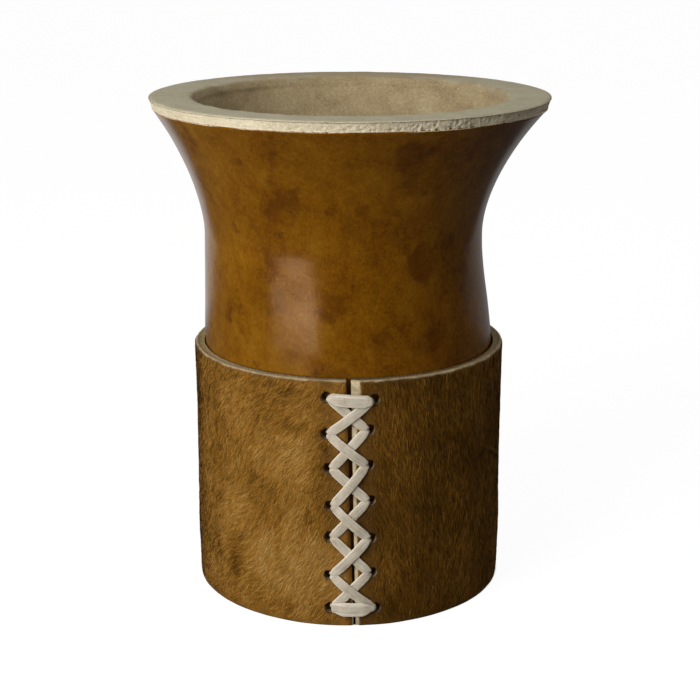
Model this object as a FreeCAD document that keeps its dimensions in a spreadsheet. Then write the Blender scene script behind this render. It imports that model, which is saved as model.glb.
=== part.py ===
import FreeCAD, Part
import Sketcher
import math
import os

# Mate cup: a calabash gourd cut open across its flare, held in a laced sleeve of hair-on hide.
# Millimetres, +Z up. The origin is the middle of the foot, on the surface that the cup stands on,
# and the laced seam faces -Y.

doc = FreeCAD.newDocument("mate_cup")
Vector = FreeCAD.Vector

# ---- driving dimensions ------------------------------------------------------------------------

sheet = doc.addObject("Spreadsheet::Sheet", "dims")
driving = {
    # gourd, outside
    "fullHeight": 113.5,        # foot to rim
    "rimRadius": 45.0,          # outer edge of the cut rim
    "bandHeight": 2.2,          # sanded band below the rim
    "bandInset": 0.7,           # how much narrower the foot of that band is
    "flarePower": 1.75,         # 1 would be a cone, more bends the flare near the rim
    "neckPinch": 1.65,          # how much narrower than the belly the neck is
    "neckHeight": 82.5,
    "neckShift": -1.55,         # the gourd leans: its neck sits to one side of the rim
    "bellyShift": -0.3,         # the same over the belly, and so of the sleeve
    "bellyRadius": 33.4,
    "bellyHeight": 52.5,
    "footCorner": 3.0,          # rounding of the gourd's foot
    "footLift": 0.5,            # the gourd's foot stays clear of the table
    # gourd, inside
    "rimWall": 9.9,
    "neckWall": 7.5,
    "bellyWall": 7.6,
    "floorWall": 9.0,
    "floorCorner": 13.0,
    "lipRound": 1.2,
    "rimRound": 0.45,
    # sleeve
    "sleeveHeight": 57.0,
    "hideThickness": 2.0,
    "sleeveEase": 0.2,          # gap between gourd and hide
    "collarFlare": 0.15,        # the hide stands out at its top edge
    "footSwell": 0.2,           # and low down
    "edgeBevel": 0.8,           # skived top edge
    "seamTop": 1.05,            # gap between the two flaps, at the top
    "seamFoot": 0.5,
    "seamLean": 1.35,           # how far the seam wanders sideways over the sleeve's height
    # lacing
    "holeRadius": 1.15,
    "holeSpread": 4.85,         # from the seam's line to a column of holes
    "topRow": 53.0,
    "rowPitch": 8.15,
    "laceWidth": 2.2,
    "laceThick": 0.7,
    "laceEase": 0.1,            # gap between lace and hide, and at a crossing
    "knotWidth": 3.0,           # the broad last stitch at the foot
    "backThick": 0.55,          # lace pressed flat behind the hide
    "backWidth": 1.7,
}
for row, (alias, value) in enumerate(driving.items(), 1):
    sheet.set(f"A{row}", alias)
    sheet.set(f"B{row}", str(value))
    sheet.setAlias(f"B{row}", alias)
doc.recompute()


def dim(alias):
    return float(sheet.get(alias))


# ---- laws that the sections follow, as expressions on the sheet --------------------------------

FLARE_TOP = "(dims.fullHeight - dims.bandHeight)"
BAND_FOOT = "(dims.rimRadius - dims.bandInset)"
NECK = "(dims.bellyRadius - dims.neckPinch)"


def flareHeight(u):
    return f"dims.neckHeight + {u} * ({FLARE_TOP} - dims.neckHeight)"


def flareRadius(u):
    return f"{NECK} + ({BAND_FOOT} - {NECK}) * {u} ^ dims.flarePower"


def flareShift(u):
    # back to the middle along a quarter wave, done at the rim
    return f"dims.neckShift * {math.cos(u * math.pi / 2) ** 0.8:.6f}"


def flareWall(u):
    return f"dims.neckWall + (dims.rimWall - dims.neckWall) * {u} ^ 2"


def waistBlend(v):
    # a half wave, 0 at the belly and 1 at the neck
    return round((1 - math.cos(v * math.pi)) / 2, 6)


def waistHeight(v):
    return f"dims.bellyHeight + {v} * (dims.neckHeight - dims.bellyHeight)"


def waistRadius(v):
    return f"dims.bellyRadius - {waistBlend(v)} * dims.neckPinch"


def waistShift(v):
    return f"dims.bellyShift + {waistBlend(v)} * (dims.neckShift - dims.bellyShift)"


# ---- helpers for bodies -----------------------------------------------------------------------

def newBody(name):
    return doc.addObject("PartDesign::Body", name)


def originPlane(body, role):
    return next(f for f in body.Origin.OriginFeatures if f.Role == role)


def ringSketch(body, name, radius, height, shift):
    """A circle at a height, moved sideways by shift; all three are expressions."""
    sketch = body.newObject("Sketcher::SketchObject", name)
    sketch.AttachmentSupport = (originPlane(body, "XY_Plane"), [""])
    sketch.MapMode = "FlatFace"
    sketch.addGeometry(Part.Circle(Vector(0, 0, 0), Vector(0, 0, 1), 10), False)
    sketch.addConstraint(Sketcher.Constraint("Coincident", 0, 3, -1, 1))
    sketch.addConstraint(Sketcher.Constraint("Radius", 0, 10))
    sketch.renameConstraint(1, "ringRadius")
    sketch.setExpression("Constraints.ringRadius", radius)
    sketch.setExpression("AttachmentOffset.Base.z", height)
    sketch.setExpression("AttachmentOffset.Base.x", shift)
    return sketch


def loftFeature(body, kind, name, rings, ruled=False):
    loft = body.newObject(f"PartDesign::{kind}Loft", name)
    loft.Profile = (rings[0], [""])
    loft.Sections = rings[1:]
    loft.Ruled = ruled
    body.Tip = loft
    doc.recompute()
    return loft


def quarterRound(body, name, radius, height, corner, steps=5):
    """Rings of a rounded bottom, from its flat up to just below the full radius."""
    rings = []
    for i in range(steps):
        turn = i / steps * math.pi / 2
        inset = f"{radius} - {corner} * {1 - math.sin(turn):.6f}"
        lift = f"{height} + {corner} * {1 - math.cos(turn):.6f}"
        rings.append(ringSketch(body, f"{name}{i}", inset, lift, "dims.bellyShift"))
    return rings


# ---- gourd ------------------------------------------------------------------------------------

def makeGourd():
    body = newBody("gourd")

    # up to the belly the sides are straight
    footTop = "dims.footLift + dims.footCorner"
    foot = quarterRound(body, "outFoot", "dims.bellyRadius", "dims.footLift", "dims.footCorner")
    foot.append(ringSketch(body, "footTop", "dims.bellyRadius", footTop, "dims.bellyShift"))
    bellyRise = "0.7 * dims.bellyHeight"
    foot.append(ringSketch(body, "bellyRise", "dims.bellyRadius", bellyRise, "dims.bellyShift"))
    loftFeature(body, "Additive", "footForm", foot, ruled=True)

    outer = []
    for i, share in enumerate((0.7, 0.8, 0.9)):
        height = f"{share} * dims.bellyHeight"
        outer.append(ringSketch(body, f"outBelly{i}", "dims.bellyRadius", height, "dims.bellyShift"))
    for i, v in enumerate((0, 0.25, 0.5, 0.75, 1)):
        outer.append(ringSketch(body, f"outWaist{i}", waistRadius(v), waistHeight(v), waistShift(v)))
    for i, u in enumerate((0.2, 0.4, 0.6, 0.8, 1)):
        outer.append(ringSketch(body, f"outFlare{i}", flareRadius(u), flareHeight(u), flareShift(u)))
    loftFeature(body, "Additive", "outerForm", outer)

    band = [ringSketch(body, "bandFoot", BAND_FOOT, FLARE_TOP, "0"),
            ringSketch(body, "bandTop", "dims.rimRadius", "dims.fullHeight - dims.rimRound", "0"),
            ringSketch(body, "rim", "dims.rimRadius - dims.rimRound", "dims.fullHeight", "0")]
    loftFeature(body, "Additive", "sandedBand", band, ruled=True)

    innerBelly = "(dims.bellyRadius - dims.bellyWall)"
    floor = "(dims.footLift + dims.floorWall)"
    inner = quarterRound(body, "inFloor", innerBelly, floor, "dims.floorCorner")
    for i, share in enumerate((0.5, 0.8)):
        height = f"{share} * dims.bellyHeight"
        inner.append(ringSketch(body, f"inBelly{i}", innerBelly, height, "dims.bellyShift"))
    for i, v in enumerate((0, 0.33, 0.66, 1)):
        wall = f"(dims.bellyWall + {waistBlend(v)} * (dims.neckWall - dims.bellyWall))"
        inner.append(ringSketch(body, f"inWaist{i}", f"{waistRadius(v)} - {wall}",
                                waistHeight(v), waistShift(v)))
    for i, u in enumerate((0.25, 0.5, 0.75, 1)):
        inner.append(ringSketch(body, f"inFlare{i}", f"{flareRadius(u)} - ({flareWall(u)})",
                                flareHeight(u), flareShift(u)))
    loftFeature(body, "Subtractive", "hollow", inner)

    mouthRadius = "dims.rimRadius - dims.rimWall"
    lip = [ringSketch(body, "lipFoot", f"{BAND_FOOT} - dims.rimWall", FLARE_TOP, "0"),
           ringSketch(body, "lipMiddle", f"{mouthRadius} - 0.1 * dims.lipRound",
                      "dims.fullHeight - 0.65 * dims.lipRound", "0"),
           ringSketch(body, "lipTop", f"{mouthRadius} + 0.25 * dims.lipRound",
                      "dims.fullHeight - 0.2 * dims.lipRound", "0"),
           ringSketch(body, "lipEdge", f"{mouthRadius} + dims.lipRound", "dims.fullHeight", "0")]
    loftFeature(body, "Subtractive", "mouth", lip, ruled=True)
    return body


# ---- sleeve -----------------------------------------------------------------------------------

def profileSketch(body, name, corners):
    """A closed outline beside the axis; every corner is a pair of expressions, (radius, height)."""
    sketch = body.newObject("Sketcher::SketchObject", name)
    sketch.AttachmentSupport = (originPlane(body, "XZ_Plane"), [""])
    sketch.MapMode = "FlatFace"
    count = len(corners)
    for i in range(count):
        here, there = Vector(i + 1, i * i, 0), Vector((i + 1) % count + 1, ((i + 1) % count) ** 2, 0)
        sketch.addGeometry(Part.LineSegment(here, there), False)
    for i in range(count):
        sketch.addConstraint(Sketcher.Constraint("Coincident", i, 2, (i + 1) % count, 1))
    for i, (radius, height) in enumerate(corners):
        for kind, size in (("DistanceX", radius), ("DistanceY", height)):
            index = sketch.addConstraint(Sketcher.Constraint(kind, -1, 1, i, 1, 1.0 + i))
            sketch.renameConstraint(index, f"{kind[-1].lower()}{i}")
            sketch.setExpression(f"Constraints.{kind[-1].lower()}{i}", size)
    return sketch


def makeSleeveBlank():
    """The outer form of the hide, before it is bored: what the lace lies on."""
    body = newBody("sleeve_blank")
    wrapped = "dims.bellyRadius + dims.sleeveEase + dims.hideThickness"
    outline = [("0", "0"), (wrapped, "0"), (f"{wrapped} + dims.footSwell", "0.22 * dims.sleeveHeight"),
               (wrapped, "0.45 * dims.sleeveHeight"), (wrapped, "0.8 * dims.sleeveHeight"),
               (f"{wrapped} + dims.collarFlare", "dims.sleeveHeight - dims.edgeBevel"),
               (f"{wrapped} + dims.collarFlare - dims.edgeBevel", "dims.sleeveHeight"),
               ("0", "dims.sleeveHeight")]
    sketch = profileSketch(body, "hideOutline", outline)
    turned = body.newObject("PartDesign::Revolution", "hideForm")
    turned.Profile = sketch
    turned.ReferenceAxis = (sketch, ["V_Axis"])
    turned.Angle = 360
    body.Tip = turned
    body.setExpression("Placement.Base.x", "dims.bellyShift")
    doc.recompute()
    return body


def makeBore():
    bore = doc.addObject("Part::Cylinder", "sleeve_bore")
    bore.setExpression("Radius", "dims.bellyRadius + dims.sleeveEase")
    bore.setExpression("Height", "dims.sleeveHeight + 2")
    bore.setExpression("Placement.Base.x", "dims.bellyShift")
    bore.setExpression("Placement.Base.z", "-1")
    doc.recompute()
    return bore


# ---- places on the hide -------------------------------------------------------------------------

def seamAt(z):
    """Sideways place of the seam's line at a height."""
    return dim("seamLean") * (1 - z / dim("sleeveHeight"))


# Hand-punched holes, counted from the top: how far each strays outward and upward.
LEFT_STRAY = ((0.10, 0.30), (0.40, 0.05), (-0.05, 0.35), (-0.10, -0.15),
              (0.25, 0.70), (0.50, -0.15), (0.60, 0.15))
RIGHT_STRAY = ((0.70, -0.40), (-0.60, 1.05), (-0.85, 1.15), (-0.75, 1.10),
               (-0.75, 0.40), (-0.80, 0.50), (-0.05, 0.0))
ROWS = len(LEFT_STRAY)


def holePlace(side, row):
    """(angle round the cup, height) of a hole. Side is -1 left and 1 right of the seam."""
    out, up = (LEFT_STRAY if side < 0 else RIGHT_STRAY)[row]
    z = dim("topRow") - row * dim("rowPitch") + up
    sideways = seamAt(z) + side * (dim("holeSpread") + out)
    boreRadius = dim("bellyRadius") + dim("sleeveEase")
    return math.asin(sideways / (boreRadius + dim("hideThickness"))), z


def outward(angle):
    return Vector(math.sin(angle), -math.cos(angle), 0)


class Hide:
    """Reads the hide's outer surface from its solid."""

    def __init__(self, blank):
        self.blank = blank.Shape
        self.reach = 2 * dim("rimRadius")

    def point(self, angle, z, offset=0.0):
        middle = Vector(dim("bellyShift"), 0, z)
        ray = Part.makeLine(middle, middle + outward(angle) * self.reach)
        inside = ray.common(self.blank)
        return middle + outward(angle) * (inside.Length + offset)


def borePoint(angle, z, offset=0.0):
    middle = Vector(dim("bellyShift"), 0, z)
    return middle + outward(angle) * (dim("bellyRadius") + dim("sleeveEase") + offset)


# ---- straps of lace ---------------------------------------------------------------------------

def strap(points, angles, width, thick):
    """A flat strap: rectangles across the route, with their inner face on the points."""
    wires = []
    for i, (here, angle) in enumerate(zip(points, angles)):
        before = points[max(i - 1, 0)]
        after = points[min(i + 1, len(points) - 1)]
        normal = outward(angle)
        across = normal.cross(after - before).normalize() * (width / 2)
        up = normal * thick
        corners = [here - across, here + across, here + across + up, here - across + up]
        wires.append(Part.makePolygon(corners + corners[:1]))
    return Part.makeLoft(wires, True, False)


def frontStrap(hide, start, end, lifts, width):
    """A strap over the hide from hole to hole, lifted off it at its start, middle and end."""
    steps = 8
    points, angles = [], []
    for i in range(steps + 1):
        share = i / steps
        angle = start[0] + share * (end[0] - start[0])
        z = start[1] + share * (end[1] - start[1])
        first, middle, last = lifts
        if share < 0.5:
            lift = first + (middle - first) * (1 - math.cos(2 * math.pi * share)) / 2
        else:
            lift = last + (middle - last) * (1 - math.cos(2 * math.pi * share)) / 2
        points.append(hide.point(angle, z, lift))
        angles.append(angle)
    return strap(points, angles, width, dim("laceThick"))


def backStrap(start, end, width, offset, thick):
    """A strap behind the hide, against its bore."""
    steps = 4
    points, angles = [], []
    for i in range(steps + 1):
        share = i / steps
        angle = start[0] + share * (end[0] - start[0])
        z = start[1] + share * (end[1] - start[1])
        points.append(borePoint(angle, z, offset))
        angles.append(angle)
    return strap(points, angles, width, thick)


def feature(name, shape):
    made = doc.addObject("Part::Feature", name)
    made.Shape = shape
    return made


def holeCutter(side, row):
    angle, z = holePlace(side, row)
    cutter = doc.addObject("Part::Cylinder", f"hole_{'L' if side < 0 else 'R'}{row}")
    cutter.setExpression("Radius", "dims.holeRadius")
    cutter.setExpression("Height", "2 + 2 * dims.hideThickness")
    turn = FreeCAD.Rotation(Vector(0, 0, 1), outward(angle))
    cutter.Placement = FreeCAD.Placement(borePoint(angle, z, -2), turn)
    return cutter


def grooveCutter(row):
    """A slice of a drum that lets the lace run from hole to hole behind the hide."""
    (leftAngle, leftZ), (rightAngle, rightZ) = holePlace(-1, row), holePlace(1, row)
    spare = 1.4 / dim("bellyRadius")
    groove = doc.addObject("Part::Cylinder", f"groove_{row}")
    reach = "dims.bellyRadius + dims.sleeveEase + dims.backThick"
    groove.setExpression("Radius", f"{reach} + 2 * dims.laceEase")
    groove.setExpression("Height", f"dims.backWidth + 4 * dims.laceEase + {abs(leftZ - rightZ):.3f}")
    groove.Angle = math.degrees(rightAngle - leftAngle + 2 * spare)
    foot = min(leftZ, rightZ) - dim("backWidth") / 2 - 2 * dim("laceEase")
    turn = FreeCAD.Rotation(Vector(0, 0, 1), math.degrees(leftAngle - spare) - 90)
    groove.Placement = FreeCAD.Placement(Vector(dim("bellyShift"), 0, foot), turn)
    return groove


def tongue(side, row):
    """The lace where it goes through a hole, pulled against the wall nearest the seam."""
    angle, z = holePlace(side, row)
    depth = dim("hideThickness") + dim("laceThick")
    deep = dim("laceThick") * 1.25
    tall = dim("holeRadius") * 1.3
    room = dim("holeRadius") - dim("laceEase")
    pulled = math.sqrt(room ** 2 - (tall / 2) ** 2) - deep / 2
    radial, upright = outward(angle), Vector(0, 0, 1)
    tangent = Vector(math.cos(angle), math.sin(angle), 0)
    inner = borePoint(angle, z, dim("laceEase") + 0.1) - tangent * (side * pulled)
    corners = [inner + tangent * (a * deep / 2) + upright * (b * tall / 2)
               for a, b in ((-1, -1), (1, -1), (1, 1), (-1, 1))]
    face = Part.Face(Part.makePolygon(corners + corners[:1]))
    return feature(f"tongue_{'L' if side < 0 else 'R'}{row}", face.extrude(radial * depth))


def makeSleeve(blank, bore):
    # the seam: a wedge-shaped gap through the front, wider at the top, a little past both ends
    seam = doc.addObject("Part::Wedge", "seam_gap")
    for name, value in {
        "Xmin": "dims.seamLean * 1.1 - dims.seamFoot / 2",
        "Xmax": "dims.seamLean * 1.1 + dims.seamFoot / 2",
        "X2min": "-dims.seamTop / 2",
        "X2max": "dims.seamTop / 2",
        "Ymin": "0",
        "Ymax": "dims.sleeveHeight * 1.1",
        "Zmin": "0",
        "Zmax": "dims.bellyRadius + 2 * dims.hideThickness + 2",
        "Z2min": "0",
        "Z2max": "dims.bellyRadius + 2 * dims.hideThickness + 2",
    }.items():
        seam.setExpression(name, value)
    upright = FreeCAD.Rotation(Vector(1, 0, 0), Vector(0, 0, 1), Vector(0, -1, 0), "XYZ")
    start = Vector(-0.05 * dim("seamLean"), 0, -0.05 * dim("sleeveHeight"))
    seam.Placement = FreeCAD.Placement(start, upright)

    holes, inside = [], [bore]
    for row in range(ROWS):
        holes += [holeCutter(-1, row), holeCutter(1, row)]
        inside.append(grooveCutter(row))
    holeSet = doc.addObject("Part::Compound", "holes")
    holeSet.Links = holes
    grooved = doc.addObject("Part::MultiFuse", "grooved_bore")
    grooved.Shapes = inside

    rest = blank
    for name, tool in (("bored_hide", grooved), ("punched_hide", holeSet), ("hide_sleeve", seam)):
        cut = doc.addObject("Part::Cut", name)
        cut.Base = rest
        cut.Tool = tool
        rest = cut
    return rest


def makeLace(hide):
    low = dim("laceEase")
    high = low + dim("laceThick") + dim("laceEase")
    middle = (low + high) / 2
    width = dim("laceWidth")
    left = [holePlace(-1, row) for row in range(ROWS)]
    right = [holePlace(1, row) for row in range(ROWS)]

    pieces = [feature("top_stitch", frontStrap(hide, left[0], right[0], (high, high, high), width))]
    for row in range(ROWS - 1):
        over, under = (right, left) if row % 2 == 0 else (left, right)
        for name, source, target, lift in (("over", over, under, high), ("under", under, over, low)):
            shape = frontStrap(hide, source[row], target[row + 1], (middle, lift, low), width)
            pieces.append(feature(f"{name}_{row}", shape))
    last = frontStrap(hide, left[-1], right[-1], (middle, high, middle), dim("knotWidth"))
    pieces.append(feature("last_stitch", last))
    for row in range(ROWS):
        pieces += [tongue(-1, row), tongue(1, row)]
        ease = dim("laceEase") / 2
        behind = backStrap(left[row], right[row], dim("backWidth"), ease, dim("backThick"))
        pieces.append(feature(f"back_{row}", behind))
    lace = doc.addObject("Part::MultiFuse", "lace")
    lace.Shapes = pieces
    return lace


# ---- build, check and write ---------------------------------------------------------------------

gourd = makeGourd()
blank = makeSleeveBlank()
bore = makeBore()
hide = Hide(blank)
sleeve = makeSleeve(blank, bore)
lace = makeLace(hide)
nodes = {"gourd": gourd, "hide_sleeve": sleeve, "lace": lace}
for label, node in nodes.items():
    node.Label = label
doc.recompute()

for item in doc.Objects:
    if "Invalid" in item.State or "Error" in item.State:
        raise RuntimeError(f"{item.Label} failed: {item.State}")
os.makedirs("parts", exist_ok=True)
for label, node in nodes.items():
    shape = node.Shape
    if shape.isNull() or not shape.isValid() or len(shape.Solids) != 1:
        raise RuntimeError(f"{label}: valid {shape.isValid()}, {len(shape.Solids)} solids")
for label, node in nodes.items():
    shape = node.Shape.Solids[0]
    shape.exportStep(f"parts/{label}.step")
    box = shape.BoundBox
    print(f"{label}: {shape.Volume / 1000:.1f} cm3, x {box.XMin:.1f}..{box.XMax:.1f}, "
          f"y {box.YMin:.1f}..{box.YMax:.1f}, z {box.ZMin:.1f}..{box.ZMax:.1f}")
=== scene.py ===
import math

import bpy
import numpy as np
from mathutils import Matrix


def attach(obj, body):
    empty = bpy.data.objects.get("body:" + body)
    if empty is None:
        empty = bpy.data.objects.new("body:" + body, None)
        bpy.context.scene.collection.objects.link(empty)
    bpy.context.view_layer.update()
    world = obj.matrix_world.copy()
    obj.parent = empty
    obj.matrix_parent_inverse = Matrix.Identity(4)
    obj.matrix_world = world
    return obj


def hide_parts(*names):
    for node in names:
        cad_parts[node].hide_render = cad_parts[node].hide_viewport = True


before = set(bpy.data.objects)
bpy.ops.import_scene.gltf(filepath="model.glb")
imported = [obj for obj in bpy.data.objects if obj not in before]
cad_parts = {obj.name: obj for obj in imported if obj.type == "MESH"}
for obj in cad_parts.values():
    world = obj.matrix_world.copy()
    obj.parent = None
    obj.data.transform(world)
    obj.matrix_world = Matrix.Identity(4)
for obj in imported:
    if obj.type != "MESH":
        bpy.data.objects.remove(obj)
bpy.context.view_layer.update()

# A mate cup: a varnished calabash gourd in a laced sleeve of hair-on hide.
# Lengths in the dictionaries are millimetres, in the frame of the CAD model, whose seam faces -Y.

mm = 0.001


# Shader maths, written as sums on sockets.

class Wire:  # a node's output, on which sums can be written
    def __init__(self, finish, socket):
        self.finish, self.socket = finish, socket

    def __add__(self, other):
        return self.finish.maths("ADD", self, other)

    __radd__ = __add__

    def __sub__(self, other):
        return self.finish.maths("SUBTRACT", self, other)

    def __rsub__(self, other):
        return self.finish.maths("SUBTRACT", other, self)

    def __mul__(self, other):
        return self.finish.maths("MULTIPLY", self, other)

    __rmul__ = __mul__


class Finish:  # a material under construction
    def __init__(self, owner):
        self.material = bpy.data.materials.new(owner) if isinstance(owner, str) else owner
        self.material.use_nodes = True
        self.nodes = self.material.node_tree.nodes
        self.links = self.material.node_tree.links
        self.nodes.clear()

    def feed(self, socket, value):
        if isinstance(value, Wire):
            self.links.new(value.socket, socket)
        elif isinstance(value, tuple) and len(value) == 3 and socket.type == "RGBA":
            socket.default_value = (*value, 1)
        else:
            socket.default_value = value

    def node(self, kind, settings=None, sockets=None, output=0):
        made = self.nodes.new(kind)
        for name, value in (settings or {}).items():
            if name == "stops":
                ramp = made.color_ramp.elements
                while len(ramp) < len(value):
                    ramp.new(0.5)
                for element, (place, colour) in zip(ramp, value):
                    element.position = place
                    element.color = (*colour, 1)
            else:
                setattr(made, name, value)
        for name, value in (sockets or {}).items():
            self.feed(made.inputs[name], value)
        return Wire(self, made.outputs[output]) if made.outputs else None

    def maths(self, operation, *values):
        return self.node("ShaderNodeMath", {"operation": operation}, dict(enumerate(values)))

    def axis(self, vector, name):  # one of a vector's numbers
        return self.node("ShaderNodeSeparateXYZ", None, {"Vector": vector}, output=name)

    def place(self, stretch=(1, 1, 1), shift=(0, 0, 0)):  # millimetres, stretched
        spot = self.node("ShaderNodeTexCoord", output="Object")
        return self.node("ShaderNodeMapping", None, {"Vector": spot, "Location": shift,
                                                      "Scale": tuple(s / mm for s in stretch)})

    def attribute(self, name, output="Fac"):
        return self.node("ShaderNodeAttribute", {"attribute_name": name}, output=output)

    def clouds(self, spot, scale, detail=4, rough=0.55, warp=0.0):
        return self.node("ShaderNodeTexNoise", None, {"Vector": spot, "Scale": scale, "Detail": detail,
                                                      "Roughness": rough, "Distortion": warp})

    def ramp(self, value, *stops):
        return self.node("ShaderNodeValToRGB", {"stops": stops}, {"Fac": value})

    def step(self, value, low, high):  # 0 below low, 1 above high, smooth between
        return self.node("ShaderNodeMapRange", {"interpolation_type": "SMOOTHSTEP"},
                         {"Value": value, "From Min": low, "From Max": high})

    def blend(self, share, under, over):  # colours
        return self.node("ShaderNodeMix", {"data_type": "RGBA", "clamp_factor": True},
                         {0: share, 6: under, 7: over}, output=2)

    def bump(self, height, distance, strength=1.0, below=None):
        sockets = {"Height": height, "Distance": distance * mm, "Strength": strength}
        if below:
            sockets["Normal"] = below
        return self.node("ShaderNodeBump", None, sockets)

    def shade(self, sockets):
        shader = self.node("ShaderNodeBsdfPrincipled", None, sockets)
        self.node("ShaderNodeOutputMaterial", None, {"Surface": shader})
        return self.material


# Helpers for noise and meshes.

def noiseField(seed, cells=32):  # smooth noise from -1 to 1, one bump a unit
    table = np.random.default_rng(seed).uniform(-1, 1, (cells, cells, cells))

    def sample(places):
        places = np.asarray(places, float)
        base = np.floor(places).astype(int)
        share = places - base
        share = share * share * (3 - 2 * share)
        total = np.zeros(places.shape[:-1])
        for corner in np.ndindex(2, 2, 2):
            weight = np.prod(np.where(corner, share, 1 - share), axis=-1)
            spot = (base + corner) % cells
            total += weight * table[spot[..., 0], spot[..., 1], spot[..., 2]]
        return total
    return sample


def layered(field, places, layers=3, gain=0.5):
    return sum(gain ** i * field(places * 2 ** i + 7 * i) for i in range(layers))


def smooth(value, low=0.0, high=1.0):
    value = np.clip((value - low) / (high - low), 0, 1)
    return value * value * (3 - 2 * value)


def meshPiece(name, points, faces, finishes, node=None):
    mesh = bpy.data.meshes.new(name)
    points = np.asarray(points, float).reshape(-1, 3) * mm
    sizes = np.array([len(face) for face in faces])
    corners = np.concatenate(list(faces))
    mesh.vertices.add(len(points))
    mesh.vertices.foreach_set("co", points.ravel().astype(np.float32))
    mesh.loops.add(len(corners))
    mesh.loops.foreach_set("vertex_index", corners.astype(np.int32))
    mesh.polygons.add(len(sizes))
    starts = np.concatenate([[0], np.cumsum(sizes)[:-1]])
    mesh.polygons.foreach_set("loop_start", starts.astype(np.int32))
    mesh.update(calc_edges=True)
    mesh.polygons.foreach_set("use_smooth", np.full(len(sizes), True))
    for finish in finishes:
        mesh.materials.append(finish)
    piece = bpy.data.objects.new(name, mesh)
    bpy.context.scene.collection.objects.link(piece)
    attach(piece, "root")
    if node:
        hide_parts(node)
    return piece


def gridFaces(rows, columns, closed=True):  # quads of a grid whose rows may close on themselves
    across = columns if closed else columns - 1
    i, j = np.meshgrid(np.arange(rows - 1), np.arange(across), indexing="ij")
    k = (j + 1) % columns
    low, high = i * columns, (i + 1) * columns
    return np.stack([low + j, low + k, high + k, high + j], -1).reshape(-1, 4)


def outwardAt(angle):  # level, away from the middle; the front is at angle 0
    return np.stack([np.sin(angle), -np.cos(angle), 0 * angle], -1)


def addValues(piece, name, values):  # a number for each vertex
    values = np.asarray(values, np.float32)
    if values.ndim == 2:
        piece.data.attributes.new(name, "FLOAT_VECTOR", "POINT").data.foreach_set("vector", values.ravel())
    else:
        piece.data.attributes.new(name, "FLOAT", "POINT").data.foreach_set("value", values)


# The gourd.

gourd = {
    "height": 113.5, "rimRadius": 45.0, "bandHeight": 2.4, "bandInset": 0.7, "flarePower": 1.75,
    "neckPinch": 1.65, "neckHeight": 82.5, "neckShift": -1.55, "bellyShift": -0.3,
    "bellyRadius": 33.4, "bellyHeight": 52.5, "footCorner": 3.0, "footLift": 0.5,
    "rimWall": 9.9, "neckWall": 7.5, "bellyWall": 7.6, "floorWall": 9.0, "floorCorner": 13.0,
    "lipRound": 1.1, "rimRound": 0.6,
    "tuck": ((0.35, 0.25), (1.2, 0.5)),     # how the skin goes in and up behind the band
    "lump": 0.154, "lumpWidth": 24.0,       # how far the skin strays from the turned form
    "sinkBelow": 60,                        # under this height it only sinks, clear of the hide
    "pit": 0.12, "crumb": 0.16, "crack": 0.22,      # depths in the torn band
    "sanding": 0.05, "lipWear": 0.28, "scrape": 0.25,   # how uneven the cut, the lip and the inside are
    "around": 480, "bandAround": 940,
}


def waistBlend(v):  # from 0 to 1 as the belly draws in to the neck
    return (1 - np.cos(np.clip(v, 0, 1) * np.pi)) / 2


def gourdForm(z):  # outer radius and sideways shift at a height
    g = gourd
    flareTop = g["height"] - g["bandHeight"]
    neck = g["bellyRadius"] - g["neckPinch"]
    v = (z - g["bellyHeight"]) / (g["neckHeight"] - g["bellyHeight"])
    u = np.clip((z - g["neckHeight"]) / (flareTop - g["neckHeight"]), 0, 1)
    low = z < g["neckHeight"]
    radius = np.where(low, g["bellyRadius"] - waistBlend(v) * g["neckPinch"],
                      neck + (g["rimRadius"] - g["bandInset"] - neck) * u ** g["flarePower"])
    shift = np.where(low, g["bellyShift"] + waistBlend(v) * (g["neckShift"] - g["bellyShift"]),
                     g["neckShift"] * np.cos(u * np.pi / 2) ** 0.8)
    foot = np.clip((z - g["footLift"]) / g["footCorner"], 0, 1)
    radius = radius - g["footCorner"] * (1 - np.sqrt(1 - (1 - foot) ** 2))
    return radius, shift


def innerForm(z):  # the same, for the bowl
    g = gourd
    outer, shift = gourdForm(np.maximum(z, g["footLift"] + g["footCorner"]))
    v = (z - g["bellyHeight"]) / (g["neckHeight"] - g["bellyHeight"])
    u = np.clip((z - g["neckHeight"]) / (g["height"] - g["bandHeight"] - g["neckHeight"]), 0, 1)
    wall = g["bellyWall"] + waistBlend(v) * (g["neckWall"] - g["bellyWall"])
    wall = wall + u ** 2 * (g["rimWall"] - g["neckWall"])
    floor = np.clip((z - g["footLift"] - g["floorWall"]) / g["floorCorner"], 0, 1)
    return outer - wall - g["floorCorner"] * (1 - np.sqrt(1 - (1 - floor) ** 2)), shift


def turned(rows, around):  # points of a form given as rows of radius, height and shift
    angle = np.arange(around) / around * 2 * np.pi
    radius, height, shift = (np.asarray(x, float)[:, None] for x in zip(*rows))
    points = np.stack([shift + radius * np.sin(angle), -radius * np.cos(angle), height + 0 * angle], -1)
    return points, angle


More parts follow.
